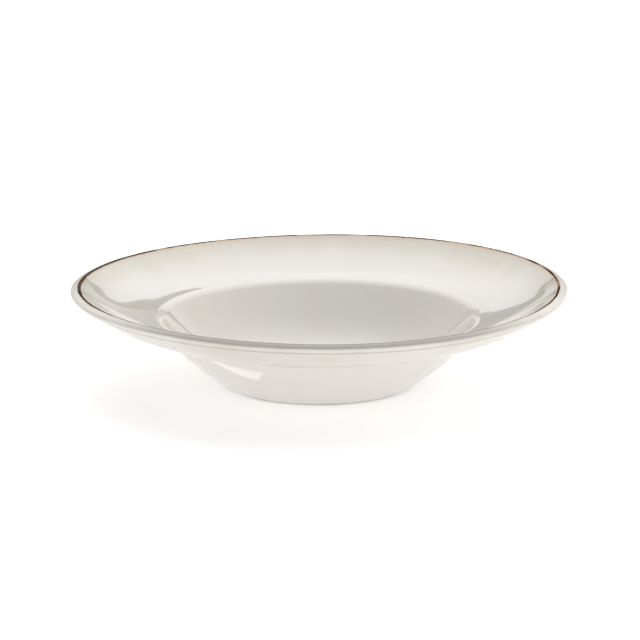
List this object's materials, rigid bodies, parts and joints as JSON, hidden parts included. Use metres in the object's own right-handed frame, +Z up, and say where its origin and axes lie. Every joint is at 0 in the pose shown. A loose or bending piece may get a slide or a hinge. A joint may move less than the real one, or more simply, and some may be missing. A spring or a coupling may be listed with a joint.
{
  "type": "pasta plate",
  "caption": "Round stoneware pasta plate with a deep well, a broad dished rim with a rounded lip, cream glaze and a thin brown edge line, standing on a bare foot ring.",
  "frame": {"origin": "on the table, at the centre of the foot ring", "axes": "+Z up along the plate's axis of symmetry; X and Y are free, because the plate is round"},
  "size_m": [0.28, 0.28, 0.0561],
  "materials": {
    "bare_clay": "fired, unglazed, ground flat on the foot",
    "cream_glaze": "glossy, warm off-white, tan towards the edge",
    "brown_edge": "glossy iron brown, broken and uneven"
  },
  "bodies": {
    "root": {"fired_body": "bare_clay", "face_glaze": "cream_glaze", "edge_band": "brown_edge", "underside_glaze": "cream_glaze", "base_glaze": "cream_glaze"}
  },
  "joints": []
}
